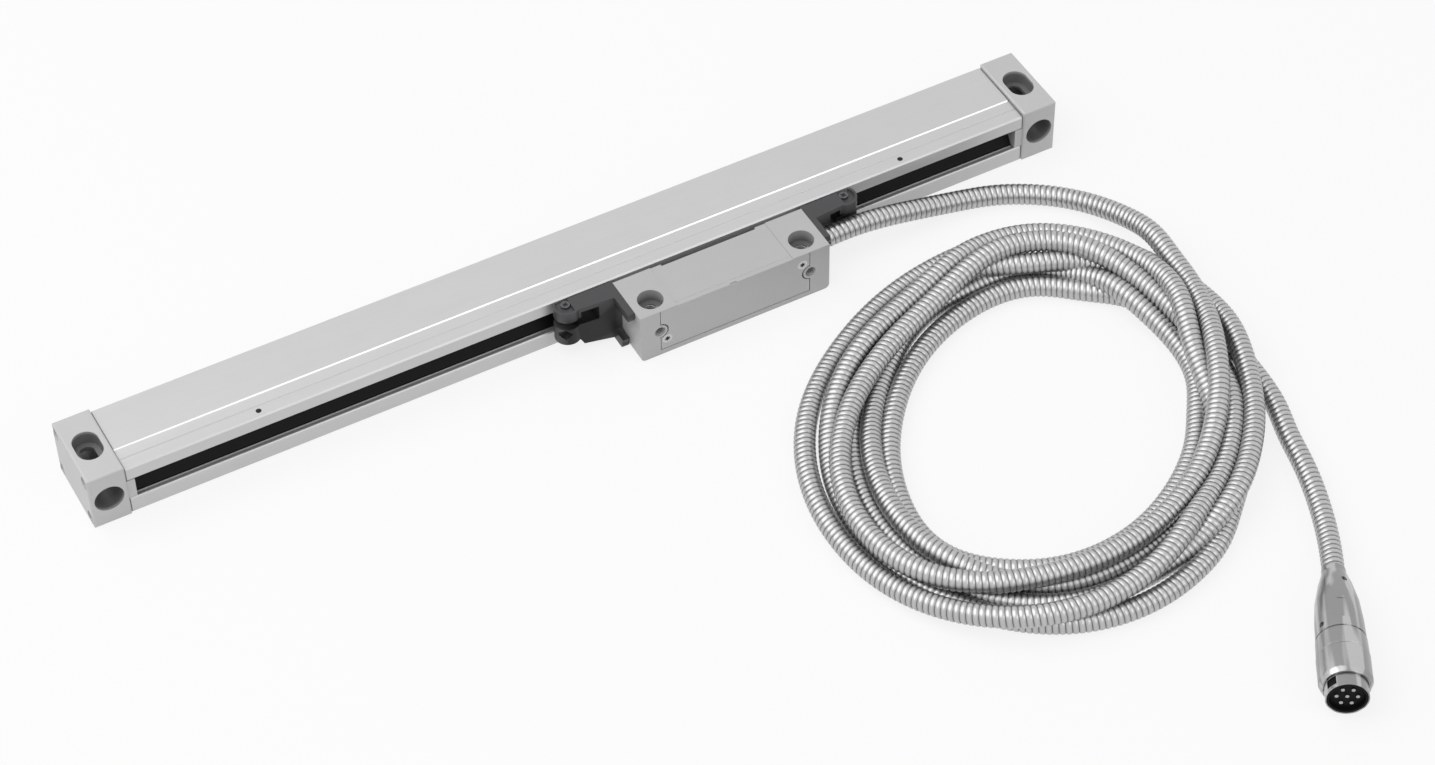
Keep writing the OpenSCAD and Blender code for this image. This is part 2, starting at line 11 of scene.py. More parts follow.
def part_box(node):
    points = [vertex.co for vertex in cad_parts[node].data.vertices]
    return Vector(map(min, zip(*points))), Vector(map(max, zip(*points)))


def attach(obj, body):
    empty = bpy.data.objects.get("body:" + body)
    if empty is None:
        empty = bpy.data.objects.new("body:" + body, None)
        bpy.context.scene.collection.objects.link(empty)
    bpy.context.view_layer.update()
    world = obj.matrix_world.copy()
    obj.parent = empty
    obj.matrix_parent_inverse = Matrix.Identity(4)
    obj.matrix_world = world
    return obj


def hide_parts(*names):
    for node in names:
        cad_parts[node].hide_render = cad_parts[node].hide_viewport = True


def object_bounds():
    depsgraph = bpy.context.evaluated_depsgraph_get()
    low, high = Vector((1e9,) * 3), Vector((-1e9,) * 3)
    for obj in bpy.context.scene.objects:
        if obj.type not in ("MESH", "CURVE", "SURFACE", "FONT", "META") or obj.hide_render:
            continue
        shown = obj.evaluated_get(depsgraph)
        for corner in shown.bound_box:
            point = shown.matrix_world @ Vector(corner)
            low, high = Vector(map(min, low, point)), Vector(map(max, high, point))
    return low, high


bl_info = {
    "name": "Linear glass scale",
    "version": (1, 0, 0),
    "blender": (4, 5, 0),
    "location": "View3D > Sidebar > Glass scale",
    "description": "Builds the finished glass scale, its cable and its studio round the CAD frame",
    "category": "Object",
}

MM = 0.001
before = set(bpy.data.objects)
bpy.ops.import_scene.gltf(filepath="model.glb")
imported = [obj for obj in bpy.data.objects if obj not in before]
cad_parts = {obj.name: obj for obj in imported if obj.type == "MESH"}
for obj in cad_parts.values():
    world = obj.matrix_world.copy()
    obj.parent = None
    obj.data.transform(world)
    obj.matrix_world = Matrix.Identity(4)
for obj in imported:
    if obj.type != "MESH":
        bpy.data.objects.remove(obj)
CAD_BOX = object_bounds()

HEAD = "reading_head"
HOUSING = "scale_housing"
HEAD_LOW, HEAD_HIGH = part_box("head_body")
PROFILE_LOW, PROFILE_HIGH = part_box("housing_profile")

# The cable's way from the head to the coil, and from the coil to the plug
LEAD_ROUTE = [
    (0.088, -0.0146, 0.0118), (0.101, -0.0142, 0.0118), (0.115, -0.0145, 0.0105), (0.131, -0.0155, 0.008),
    (0.146, -0.0166, 0.0055), (0.159, -0.019, 0.0044), (0.171, -0.0246, 0.004), (0.182, -0.0332, 0.0043),
    (0.190, -0.0452, 0.006), (0.1945, -0.0585, 0.0087), (0.196, -0.071, 0.0116),
]
TAIL_ROUTE = [
    (0.1914, -0.158, 0.004), (0.187, -0.171, 0.004), (0.184, -0.185, 0.004), (0.1797, -0.199, 0.004),
    (0.174, -0.213, 0.0044), (0.1685, -0.224, 0.0054), (0.1632, -0.2329, 0.0066),
]

# The coil, wound clockwise: each turn's reach from the middle, every 30 degrees from where the lead
# joins it, in millimetres, and then how high it starts before the turns settle on each other. Ridges
# lie in the next turn's grooves, so turns touch a little closer than their diameter
COIL_CENTRE = (0.112, -0.128)
FIRST_ANGLE = 30
TURN_STATIONS = 12
TURNS = [
    ((95.2, 70.6, 61.9, 59.2, 63.1, 72.2, 84.1, 78.5, 67.3, 62.3, 66.8, 84.2),
     (12.5, 17.5, 18, 12.5, 12, 12, 12, 11.8, 11.4, 11.5, 11.3, 11)),
    ((77, 70.7, 65.8, 66.7, 75.8, 89.7, 90, 86.2, 82.4, 79.5, 85.3, 95.8),
     (11, 11, 11.5, 11.5, 12, 12, 5.5, 4, 4, 4, 4, 4)),
    ((94, 81.5, 73.3, 74, 73.8, 80.3, 76.5, 70, 65.3, 68.8, 77.7, 75.8),
     (4.5, 12, 12, 13, 5, 4, 4, 4, 4, 4, 4, 11)),
    ((82, 72.4, 72, 73, 83.9, 88.2, 83, 78, 73.4, 70.5, 74.2, 92.8),
     (4, 4, 4, 4, 4, 4, 4.5, 4, 4, 9, 11.2, 11)),
    ((84.1, 62.9, 63.3, 61.3, 65.3, 72.3, 73.5, 64.4, 59, 60.9, 70.9, 80.5),
     (11, 11.5, 5, 4, 4, 4, 10.5, 9.8, 8.8, 4.5, 4, 4)),
    ((70.2, 64.4, 55.5, 53.3, 57.5, 64.3, 68.8, 58.6, 53.4, 53.2, 60.7, 72.5),
     (11, 4, 4, 4, 4, 4, 4, 4, 4, 4, 4, 4)),
    ((74.8, 80.6, 85.7), (4, 4, 4)),
]
LAST_TURNED = 6 * 360 + 43
COIL_STEP = 3.0
SETTLE_ROUNDS = 400
NESTING = 0.95

# One round of settling: how hard a turn is pulled back to its reach, how far it sinks, how much of an
# overlap each side gives up, and how much its reach and height are smoothed
PULL_BACK = 0.1
SINK = 0.06 * MM
GIVE_WAY = 0.25
SMOOTH_REACH = 0.125
SMOOTH_HEIGHT = 0.25

# Hose: its route's points, the tube's corners, and how many pitches may hide in the plug
ROUTE_SPACING = 3 * MM
ROUTE_SMOOTHING = 0.25
HOSE_SIDES = 15
HIDDEN_PITCHES = 2

# Plug: its own axis, from the cable to its open end
PLUG_AXIS = Vector((-0.510796, -0.856868, 0.069756))
PLUG_SHELLS = ("backshell", "rear_ring", "coupling_ring", "shell")

# Housing: how far out and back the index marks lie, which get painted shade, and the step along its top, which
# gets a painted highlight
INDEX_OUT = 129.3 * MM
INDEX_BACK = 2.9 * MM
STRIP_DROP = 0.4 * MM
STEP_FOOT = 10.0 * MM

# Head: its holes and their threads, cross recesses that get painted shade, and the notch in its back edge,
# where shade is painted too
HOLE_PITCH = 61.8 * MM
HOLE_IN = 7.1 * MM
HOLE_RADIUS = 2.6 * MM
BORE_DEPTH = 5 * MM
FRONT_HOLE_RADIUS = 2.1 * MM
FRONT_HOLE_HEIGHT = 11.8 * MM
UPRIGHT_TURNS = 8.0
FRONT_TURNS = 4.0
COVER_SCREW_RADIUS = 1.95 * MM
GUIDE_RECESS_RADIUS = 1.3 * MM
CROSS_WAIST = 0.25
NOTCH_HALF = 19.4 * MM
NOTCH_TOP = 0.6 * MM
NOTCH_FLOOR = 1.5 * MM
NOTCH_BACK = 1 * MM

# Flat marks lie this far outside the face they mark: the dark ones are painted shade over holes and recesses,
# the bright one is a painted highlight on the step
PROUD = 0.02 * MM
UPWARD = (0.0, 0.0, 0.0)
FORWARD = (math.radians(90), 0.0, 0.0)

# Corners of a solid closer than this are one, flatter edges are dissolved, steeper ones stay crisp
SAME_CORNER = 0.002 * MM
ON_CUT = 0.001 * MM
FLAT_EDGE = math.radians(0.6)
CRISP_EDGE = math.radians(28)

# How deep in the end blocks' holes the shade is full
BLOCK_SHADE_AT = 1.5 * MM


# ---- Settings ----

def shade(name, text, value):
    return bpy.props.FloatVectorProperty(name=name, description=text, subtype="COLOR", size=3,
                                         min=0, max=1, default=value)


def length(name, text, value):
    return bpy.props.FloatProperty(name=name, description=text, unit="LENGTH", subtype="DISTANCE",
                                   default=value, min=0, precision=5)


class ScaleSizes(bpy.types.PropertyGroup):
    hose_diameter: length("Hose diameter", "Outer diameter of the wound steel cable", 8 * MM)
    hose_pitch: length("Strip pitch", "Distance from one ridge of the wound strip to the next", 2.15 * MM)
    hose_groove: length("Groove depth", "How far the strip dips between two ridges", 0.46 * MM)
    edge_round: length("Edge rounding", "Width of the broken edges of machined pieces", 0.22 * MM)
    thread_pitch: length("Thread pitch", "Pitch of the threads in the head's holes", 0.9 * MM)
    index_mark: length("Index mark", "Radius of the two marks on the extrusion", 1.05 * MM)


class ScaleColours(bpy.types.PropertyGroup):
    profile: shade("Extrusion", "Colour of the anodised housing", (0.60, 0.60, 0.60))
    blasted: shade("Blasted aluminium", "Colour of the end blocks", (0.56, 0.56, 0.56))
    head: shade("Head aluminium", "Colour of the reading head", (0.50, 0.50, 0.50))
    hose: shade("Hose steel", "Colour of the wound steel strip", (0.52, 0.52, 0.52))
    plug: shade("Plug", "Colour of the plated plug", (0.50, 0.50, 0.50))
    guide: shade("Lip guides", "Colour of the coated lip guides", (0.07, 0.07, 0.073))
    rubber: shade("Rubber", "Colour of the lips and the other black rubber", (0.006, 0.006, 0.0065))


class StudioSettings(bpy.types.PropertyGroup):
    key_power: bpy.props.FloatProperty(
        name="Key light", description="Power of the large lamp high on the left", unit="POWER",
        default=14.5, min=0)
    edge_power: bpy.props.FloatProperty(
        name="Edge light", description="Power of the lamp in front on the right", unit="POWER",
        default=2.5, min=0)
    room_light: bpy.props.FloatProperty(
        name="Room light", description="Strength of the light from all round", subtype="FACTOR",
        default=0.48, min=0)
    floor_colour: shade("Floor", "Colour of the floor", (0.92, 0.92, 0.92))


def sizes():
    return bpy.context.scene.scale_sizes


def colours():
    return bpy.context.scene.scale_colours


# ---- Shader groups and materials ----

class Tree:
    """A node tree under construction."""

    def __init__(self, tree):
        self.tree = tree

    def add(self, kind, values=(), links=(), **settings):
        node = self.tree.nodes.new(kind)
        for key, value in settings.items():
            setattr(node, key, value)
        for socket, value in dict(values).items():
            node.inputs[socket].default_value = value
        for socket, source in dict(links).items():
            self.tree.links.new(source, node.inputs[socket])
        return node

    def maths(self, operation, first, second):
        node = self.tree.nodes.new("ShaderNodeMath")
        node.operation = operation
        for socket, item in zip(node.inputs, (first, second)):
            if isinstance(item, bpy.types.NodeSocket):
                self.tree.links.new(item, socket)
            else:
                socket.default_value = item
        return node.outputs[0]

    def blend(self, amount, first, second, kind="MIX"):
        node = self.tree.nodes.new("ShaderNodeMix")
        node.data_type = "RGBA"
        node.blend_type = kind
        for socket, item in ((node.inputs[0], amount), (node.inputs[6], first), (node.inputs[7], second)):
            if isinstance(item, bpy.types.NodeSocket):
                self.tree.links.new(item, socket)
            else:
                socket.default_value = item
        return node.outputs[2]


def new_group(name, inputs, outputs):
    group = bpy.data.node_groups.new(name, "ShaderNodeTree")
    for label, kind, value in inputs:
        socket = group.interface.new_socket(label, in_out="INPUT", socket_type=kind)
        if value is not None:
            socket.default_value = value
    for label, kind in outputs:
        group.interface.new_socket(label, in_out="OUTPUT", socket_type=kind)
    tree = Tree(group)
    return tree, tree.add("NodeGroupInput").outputs, tree.add("NodeGroupOutput").inputs


def worked_surface():
    """Grain, faint clouds and lines of a worked surface, stretched along one way where it was drawn."""
    name = "Worked surface"
    if name in bpy.data.node_groups:
        return bpy.data.node_groups[name]
    tree, inside, out = new_group(
        name,
        [("Vector", "NodeSocketVector", None), ("Colour", "NodeSocketColor", (0.6, 0.6, 0.6, 1)),
         ("Stretch", "NodeSocketVector", (1, 1, 1)), ("Grain Size", "NodeSocketFloat", 2500.0),
         ("Grain", "NodeSocketFloat", 0.1), ("Clouds", "NodeSocketFloat", 0.05),
         ("Roughness", "NodeSocketFloat", 0.4), ("Roughness Spread", "NodeSocketFloat", 0.1)],
        [("Colour", "NodeSocketColor"), ("Roughness", "NodeSocketFloat"), ("Height", "NodeSocketFloat")])
    drawn = tree.add("ShaderNodeMapping", links={"Vector": inside["Vector"], "Scale": inside["Stretch"]})
    grain = tree.add("ShaderNodeTexNoise", {"Detail": 3.0, "Roughness": 0.6},
                     {"Vector": drawn.outputs[0], "Scale": inside["Grain Size"]})
    clouds = tree.add("ShaderNodeTexNoise", {"Scale": 60.0, "Detail": 2.0}, {"Vector": inside["Vector"]})
    centred = tree.maths("SUBTRACT", grain.outputs[0], 0.5)
    drift = tree.maths("SUBTRACT", clouds.outputs[0], 0.5)
    light = tree.maths("ADD", tree.maths("MULTIPLY", centred, inside["Grain"]),
                       tree.maths("MULTIPLY", drift, inside["Clouds"]))
    level = tree.maths("ADD", light, 1.0)
    scaled = tree.add("ShaderNodeVectorMath", {}, {0: inside["Colour"]}, operation="SCALE")
    tree.tree.links.new(level, scaled.inputs["Scale"])
    tree.tree.links.new(scaled.outputs[0], out["Colour"])
    rough = tree.maths("ADD", tree.maths("MULTIPLY", centred, inside["Roughness Spread"]), inside["Roughness"])
    tree.tree.links.new(rough, out["Roughness"])
    tree.tree.links.new(grain.outputs[0], out["Height"])
    return tree.tree


def reflection_bands():
    """Painted reflection: light and dark bands that run along the axis of a turned and polished piece, standing
    in for the dark surroundings its metal would mirror.
    """
    name = "Drawn streaks"
    if name in bpy.data.node_groups:
        return bpy.data.node_groups[name]
    tree, inside, out = new_group(
        name,
        [("Vector", "NodeSocketVector", None), ("Axis", "NodeSocketVector", (1, 0, 0)),
         ("Colour", "NodeSocketColor", (0.5, 0.5, 0.5, 1)), ("Dark", "NodeSocketColor", (0.2, 0.2, 0.2, 1)),
         ("Bands", "NodeSocketFloat", 240.0)],
        [("Colour", "NodeSocketColor")])
    run = tree.add("ShaderNodeVectorMath", links={0: inside["Vector"], 1: inside["Axis"]},
                   operation="DOT_PRODUCT").outputs["Value"]
    axis_part = tree.maths("MULTIPLY", run, 0.93)
    along = tree.add("ShaderNodeVectorMath", links={0: inside["Axis"], "Scale": axis_part},
                     operation="SCALE").outputs[0]
    across = tree.add("ShaderNodeVectorMath", links={0: inside["Vector"], 1: along},
                      operation="SUBTRACT").outputs[0]
    bands = tree.add("ShaderNodeTexNoise", {"Detail": 1.0}, {"Vector": across, "Scale": inside["Bands"]})
    edge = tree.add("ShaderNodeMapRange", {"From Min": 0.46, "From Max": 0.54}, {"Value": bands.outputs[0]})
    tree.tree.links.new(tree.blend(edge.outputs[0], inside["Dark"], inside["Colour"]), out["Colour"])
    return tree.tree


def finish(name, colour, metallic, roughness, grain=0.1, clouds=0.05, grain_size=2500.0, stretch=(1, 1, 1),
           spread=0.1, bump=0.1, depth=0.00002, coat=0.0, specular=0.5, groove=None, painted_reflection=None):
    """A Principled material whose colour, roughness and bump come from the worked surface group."""
    made = bpy.data.materials.get(name)
    if made:
        return made
    made = bpy.data.materials.new(name)
    made.use_nodes = True
    tree = Tree(made.node_tree)
    shader = made.node_tree.nodes["Principled BSDF"]
    place = tree.add("ShaderNodeTexCoord")
    surface = tree.add("ShaderNodeGroup", node_tree=worked_surface())
    made.node_tree.links.new(place.outputs["Object"], surface.inputs["Vector"])
    surface.inputs["Colour"].default_value = (*colour, 1)
    surface.inputs["Stretch"].default_value = stretch
    surface.inputs["Grain Size"].default_value = grain_size
    surface.inputs["Grain"].default_value = grain
    surface.inputs["Clouds"].default_value = clouds
    surface.inputs["Roughness"].default_value = roughness
    surface.inputs["Roughness Spread"].default_value = spread
    tint = surface.outputs["Colour"]
    # Painted reflection: dark bands along the plug's axis stand in for the dark surroundings its metal would
    # mirror
    if painted_reflection:
        drawn = tree.add("ShaderNodeGroup", node_tree=reflection_bands())
        made.node_tree.links.new(place.outputs["Object"], drawn.inputs["Vector"])
        made.node_tree.links.new(tint, drawn.inputs["Colour"])
        drawn.inputs["Axis"].default_value = PLUG_AXIS
        drawn.inputs["Dark"].default_value = (*painted_reflection, 1)
        tint = drawn.outputs["Colour"]
    # Painted shade: where the groove attribute is high, in holes, hollows, the head's notch and the hose's
    # grooves, the colour is mixed towards this darker colour
    if groove:
        low = tree.add("ShaderNodeAttribute", attribute_name="groove")
        tint = tree.blend(tree.maths("POWER", low.outputs["Fac"], 1.6), tint, (*groove, 1))
    bumped = tree.add("ShaderNodeBump", {"Strength": bump, "Distance": depth},
                      {"Height": surface.outputs["Height"]})
    made.node_tree.links.new(tint, shader.inputs["Base Color"])
    made.node_tree.links.new(surface.outputs["Roughness"], shader.inputs["Roughness"])
    made.node_tree.links.new(bumped.outputs[0], shader.inputs["Normal"])
    shader.inputs["Metallic"].default_value = metallic
    shader.inputs["Coat Weight"].default_value = coat
    shader.inputs["Specular IOR Level"].default_value = specular
    return made


def profile_finish():
    # Painted shade: its hollows and slot darken towards near black
    return finish("Anodised extrusion", tuple(colours().profile), 0.45, 0.36, grain=0.10, clouds=0.04,
                  grain_size=2600.0, stretch=(0.012, 1, 1), spread=0.16, bump=0.12, depth=0.00001,
                  groove=(0.03, 0.03, 0.03))


def blasted_finish():
    # Painted shade: the end blocks' holes darken towards this grey
    return finish("Blasted aluminium", tuple(colours().blasted), 0.25, 0.5, grain=0.22, clouds=0.06,
                  grain_size=3800.0, spread=0.2, bump=0.25, depth=0.00003, groove=(0.22, 0.22, 0.22))


def head_finish():
    # Painted shade: the head's holes, recesses and back notch darken towards this grey
    return finish("Head aluminium", tuple(colours().head), 0.25, 0.5, grain=0.22, clouds=0.06,
                  grain_size=3800.0, spread=0.2, bump=0.25, depth=0.00003, groove=(0.20, 0.20, 0.20))


def gasket_finish():
    return finish("Grey gasket", (0.24, 0.24, 0.245), 0.0, 0.6, grain=0.2, clouds=0.1, bump=0.1)


def step_highlight_finish():
    # Painted highlight: a brighter metal for the strip on the extrusion's step
    return finish("Bright cut edge", (0.72, 0.72, 0.72), 1.0, 0.3, grain=0.06, clouds=0.05,
                  stretch=(0.02, 1, 1), spread=0.05, bump=0.03)


def recess_shade_finish():
    # Painted shade: a near black for flat sheets over holes and recesses
    return finish("Dark recess", (0.02, 0.02, 0.021), 0.3, 0.5, grain=0.3, clouds=0.2, bump=0.1, specular=0.2)


def guide_finish():
    # Painted shade: the guides' holes and hollows darken towards near black
    return finish("Coated guide", tuple(colours().guide), 0.2, 0.42, grain=0.35, clouds=0.1,
                  grain_size=3000.0, bump=0.3, depth=0.00003, specular=0.35, groove=(0.012, 0.012, 0.012))


def rubber_finish():
    return finish("Black rubber", tuple(colours().rubber), 0.0, 0.55, grain=0.4, clouds=0.2,
                  grain_size=1800.0, stretch=(0.05, 1, 1), bump=0.15, depth=0.00002, specular=0.15)


def steel_finish():
    return finish("Plated steel", (0.56, 0.56, 0.57), 1.0, 0.3, grain=0.12, clouds=0.05, bump=0.08)


def dark_steel_finish():
    return finish("Darkened steel", (0.13, 0.13, 0.135), 0.8, 0.38, grain=0.2, clouds=0.1, bump=0.1)


def hose_finish():
    # Painted shade: the strip's grooves darken towards near black
    return finish("Wound steel strip", tuple(colours().hose), 0.9, 0.34, grain=0.1, clouds=0.12,
                  grain_size=1500.0, spread=0.12, bump=0.05, groove=(0.07, 0.07, 0.07))


def plug_finish():
    # Painted reflection: dark bands along its axis
    return finish("Satin nickel plate", tuple(colours().plug), 1.0, 0.26, grain=0.05, clouds=0.05,
                  grain_size=2200.0, spread=0.08, bump=0.04, painted_reflection=(0.30, 0.30, 0.30))


def insulator_finish():
    return finish("Black moulded insert", (0.006, 0.006, 0.0063), 0.0, 0.5, grain=0.3, clouds=0.1, bump=0.1,
                  specular=0.1)


def pin_finish():
    return finish("Plated pins", (0.42, 0.42, 0.42), 1.0, 0.3, grain=0.06, clouds=0.05, bump=0.03)


def board_finish():
    return finish("Circuit board", (0.02, 0.13, 0.05), 0.0, 0.4, grain=0.3, clouds=0.3, bump=0.1, coat=0.3)


def carriage_finish():
    return finish("Filled black plastic", (0.035, 0.035, 0.037), 0.0, 0.5, grain=0.5, clouds=0.2, bump=0.2)


def glass_finish():
    made = bpy.data.materials.get("Scale glass")
    if made:
        return made
    made = bpy.data.materials.new("Scale glass")
    made.use_nodes = True
    tree = Tree(made.node_tree)
    shader = made.node_tree.nodes["Principled BSDF"]
    place = tree.add("ShaderNodeTexCoord")
    lines = tree.add("ShaderNodeTexWave", {"Scale": 500.0, "Distortion": 0.0},
                     {"Vector": place.outputs["Object"]}, bands_direction="X")
    tint = tree.blend(lines.outputs["Fac"], (0.72, 0.82, 0.80, 1), (0.62, 0.72, 0.70, 1))
    made.node_tree.links.new(tint, shader.inputs["Base Color"])
    shader.inputs["Roughness"].default_value = 0.05
    shader.inputs["Transmission Weight"].default_value = 0.9
    shader.inputs["IOR"].default_value = 1.5
    return made


# ---- Mesh helpers ----

def settle_piece(name, data, material, body, smooth=True):
    made = bpy.data.objects.new(name, data)
    bpy.context.scene.collection.objects.link(made)
    data.materials.clear()
    data.materials.append(material)
    data.polygons.foreach_set("use_smooth", [smooth] * len(data.polygons))
    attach(made, body)
    return made


def repaint(material, *nodes):
    for node in nodes:
        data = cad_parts[node].data
        data.materials.clear()
        data.materials.append(material)


def mark_inside(data, margin, axes):
    """Marks corners for painted shade, from half a margin inside the piece's own box, fully from one and a half
    margins.
    """
    at = np.empty(len(data.vertices) * 3)
    data.vertices.foreach_get("co", at)
    at = at.reshape(-1, 3)[:, axes]
    inside = np.minimum(at - at.min(0), at.max(0) - at).min(1)
    deep = data.attributes.new("groove", "FLOAT", "POINT")
    deep.data.foreach_set("value", np.clip((inside - 0.5 * margin) / margin, 0, 1))


def mark_box(data, low, high):
    """Marks the corners inside a box with full painted shade, for a notch that lies in shade."""
    for corner, deep in zip(data.vertices, data.attributes["groove"].data):
        if all(a <= b <= c for a, b, c in zip(low, corner.co, high)):
            deep.value = 1.0


def bevelled(node, name, material, body, width, angle=35.0, axes=(0, 1, 2), shade_depth=2 * MM, cuts=()):
    """A copy of a CAD node with broken edges, which then stands for the node.

    Edges steeper than the angle are broken. Each cut, a place and a direction, adds corners across the
    piece, so that the shade in its holes begins at that depth.
    """
    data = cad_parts[node].data.copy()
    shape = bmesh.new()
    shape.from_mesh(data)
    bmesh.ops.remove_doubles(shape, verts=shape.verts, dist=SAME_CORNER)
    bmesh.ops.dissolve_limit(shape, angle_limit=FLAT_EDGE, verts=shape.verts, edges=shape.edges)
    for place, across in cuts:
        everything = [*shape.verts, *shape.edges, *shape.faces]
        bmesh.ops.bisect_plane(shape, geom=everything, plane_co=place, plane_no=across, dist=ON_CUT)
    shape.to_mesh(data)
    shape.free()
    data.polygons.foreach_set("use_smooth", [True] * len(data.polygons))
    data.set_sharp_from_angle(angle=CRISP_EDGE)
    rough = bpy.data.objects.new(name + "_rough", data)
    bpy.context.scene.collection.objects.link(rough)
    edge = rough.modifiers.new("Broken edges", "BEVEL")
    edge.width = width
    edge.segments = 2
    edge.limit_method = "ANGLE"
    edge.angle_limit = math.radians(angle)
    edge.miter_outer = "MITER_ARC"
    even = rough.modifiers.new("Flat faces", "WEIGHTED_NORMAL")
    even.weight = 100
    even.keep_sharp = True
    final = bpy.data.meshes.new_from_object(rough.evaluated_get(bpy.context.evaluated_depsgraph_get()))
    final.name = name
    bpy.data.objects.remove(rough)
    # Painted shade: the piece's holes and hollows darken with depth
    mark_inside(final, shade_depth, list(axes))
    made = settle_piece(name, final, material, body)
    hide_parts(node)
    return made


# ---- Cable ----

def through(values, at):
    """A smooth curve through evenly spaced values, read at positions counted in spaces."""
    k = np.clip(np.floor(at).astype(int), 0, len(values) - 2)
    t = at - k
    y = np.concatenate([[2 * values[0] - values[1]], values, [2 * values[-1] - values[-2]]])
    a, b, c, d = y[k], y[k + 1], y[k + 2], y[k + 3]
    return 0.5 * (2 * b + (c - a) * t + (2 * a - 5 * b + 4 * c - d) * t ** 2 + (3 * b - a - 3 * c + d) * t ** 3)


def settled_coil(diameter):
    """Lays the turns at their reaches, then lets them push apart and sink until they rest on each other."""
    turned = np.arange(0, LAST_TURNED + 0.1, COIL_STEP)
    spaces = turned / (360 / TURN_STATIONS)
    want = through(np.array([r for reach, _ in TURNS for r in reach]) * MM, spaces)
    high = through(np.array([z for _, start in TURNS for z in start]) * MM, spaces)
    low = diameter / 2
    close = diameter * NESTING
    reach, high = want.copy(), np.maximum(high, low)
    count = len(turned)
    per_turn = int(360 / COIL_STEP)
    order = np.arange(count)
    for _ in range(SETTLE_ROUNDS):
        reach += PULL_BACK * (want - reach)
        high -= SINK
        out, up = np.zeros(count), np.zeros(count)
        for later in (turn * per_turn + shift for turn in range(1, 7) for shift in (-1, 0, 1)):
            a = order[order + later < count]
            b = a + later
            across, rise = reach[b] - reach[a], high[b] - high[a]
            along = ((later + per_turn / 2) % per_turn - per_turn / 2) * math.radians(COIL_STEP) * reach[a]
            apart = np.sqrt(across ** 2 + rise ** 2 + along ** 2)
            push = GIVE_WAY * np.maximum(close - apart, 0) / np.maximum(apart, 1e-9)
            np.add.at(out, a, -push * across)
            np.add.at(out, b, push * across)
            np.add.at(up, a, -push * rise)
            np.add.at(up, b, push * rise)
        reach += out
        high += up
        for _ in range(3):
            reach[1:-1] += SMOOTH_REACH * (reach[:-2] - 2 * reach[1:-1] + reach[2:])
            high[1:-1] += SMOOTH_HEIGHT * (high[:-2] - 2 * high[1:-1] + high[2:])
        high = np.maximum(high, low)
    angle = np.radians(FIRST_ANGLE - turned)
    return np.stack([COIL_CENTRE[0] + reach * np.cos(angle), COIL_CENTRE[1] + reach * np.sin(angle), high], 1)


def even_points(route, spacing):
    """Points at even distances along a smooth curve through the route."""
    route = np.asarray(route, float)
    fine = []
    for i in range(len(route) - 1):
        a, b, c, d = route[max(i - 1, 0)], route[i], route[i + 1], route[min(i + 2, len(route) - 1)]
        ab, bc, cd = (max(np.linalg.norm(q - p), 1e-9) ** 0.5 for p, q in ((a, b), (b, c), (c, d)))
        for t in np.linspace(0, 1, 12, endpoint=False):
            s = t * bc
            a1 = a + (b - a) * (s + ab) / ab if i > 0 else b + (c - b) * t
            a2 = b + (c - b) * t
            a3 = c + (d - c) * (s - bc) / cd if i < len(route) - 2 else b + (c - b) * t
            b1 = a1 + (a2 - a1) * (s + ab) / (ab + bc)
            b2 = a2 + (a3 - a2) * s / (bc + cd)
            fine.append(b1 + (b2 - b1) * t)
    fine.append(route[-1])
    fine = np.array(fine)
    run = np.concatenate([[0], np.cumsum(np.linalg.norm(np.diff(fine, axis=0), axis=1))])
    steps = max(2, int(round(run[-1] / spacing)))
    at = np.linspace(0, run[-1], steps + 1)
    return np.stack([np.interp(at, run, fine[:, k]) for k in range(3)], 1)


def cable_route():
    """The whole centreline: lead, coil and tail."""
    coil = settled_coil(sizes().hose_diameter)
    route = np.concatenate([np.array(LEAD_ROUTE), coil[1:], np.array(TAIL_ROUTE)])
    even = even_points(route, ROUTE_SPACING)
    for _ in range(6):
        even[1:-1] += ROUTE_SMOOTHING * (even[:-2] - 2 * even[1:-1] + even[2:])
    return even


# One pitch of the wound strip: where each edge lies along it, and how deep it dips, which also sets how much
# painted shade its colour gets
STRIP_EDGES = ((0.0, 1.0), (0.17, 0.28), (0.5, 0.0), (0.83, 0.28))


def node_modifier(obj, tree, **values):
    """Adds a Geometry Nodes modifier and sets its inputs by their identifiers."""
    modifier = obj.modifiers.new(tree.name, "NODES")
    modifier.node_group = tree
    for item in tree.interface.items_tree:
        if item.item_type == "SOCKET" and item.in_out == "INPUT" and item.name in values:
            modifier[item.identifier] = values[item.name]
    return modifier


def evaluated_mesh(obj, name):
    """The plain mesh that an object's modifiers make; the object itself is removed."""
    data = bpy.data.meshes.new_from_object(obj.evaluated_get(bpy.context.evaluated_depsgraph_get()))
    data.name = name
    bpy.data.objects.remove(obj)
    return data


def shape_tree(name, inputs):
    group = bpy.data.node_groups.new(name, "GeometryNodeTree")
    group.interface.new_socket("Geometry", in_out="INPUT", socket_type="NodeSocketGeometry")
    for label, kind, value in inputs:
        socket = group.interface.new_socket(label, in_out="INPUT", socket_type=kind)
        if value is not None:
            socket.default_value = value
    group.interface.new_socket("Geometry", in_out="OUTPUT", socket_type="NodeSocketGeometry")
    tree = Tree(group)
    return tree, tree.add("NodeGroupInput").outputs, tree.add("NodeGroupOutput").inputs


def finish_tree(tree, geometry, material, out):
    """Ends a tree in real geometry with its material."""
    real = tree.add("GeometryNodeRealizeInstances", links={0: geometry})
    painted = tree.add("GeometryNodeSetMaterial", links={"Geometry": real.outputs[0], "Material": material})
    tree.tree.links.new(painted.outputs[0], out["Geometry"])


